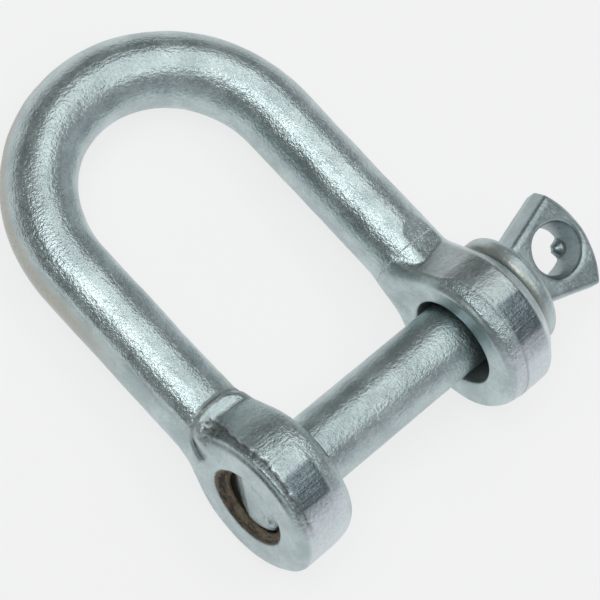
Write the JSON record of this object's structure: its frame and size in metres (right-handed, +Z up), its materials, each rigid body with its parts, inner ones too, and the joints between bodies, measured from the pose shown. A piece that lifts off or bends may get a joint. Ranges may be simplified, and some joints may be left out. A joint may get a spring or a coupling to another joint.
{
  "type": "d-shackle",
  "caption": "Forged D-shackle: a round bow with two drum ears, closed by a screw pin with a collar and a flat eye head.",
  "frame": {"origin": "middle of the bounding box's bottom face, on the surface that the shackle lies on", "axes": "+X along the pin towards its eye head, +Y from the ears to the crown of the bow, +Z up"},
  "size_m": [0.0612, 0.0708, 0.0208],
  "materials": {
    "zinc_bow": "bright zinc plate over forged steel, slightly mottled, with dirt in the creases and a brown tapped hole",
    "zinc_pin": "bright zinc plate over forged and turned steel, with a dull brownish collar rim"
  },
  "bodies": {
    "bow": {"shackle_body": "zinc_bow"},
    "pin": {"screw_pin": "zinc_pin"}
  },
  "joints": [
    {"name": "pin_withdraw", "type": "slide", "parent": "bow", "child": "pin", "axis": [1, 0, 0], "range_m": [0, 0.045]}
  ]
}
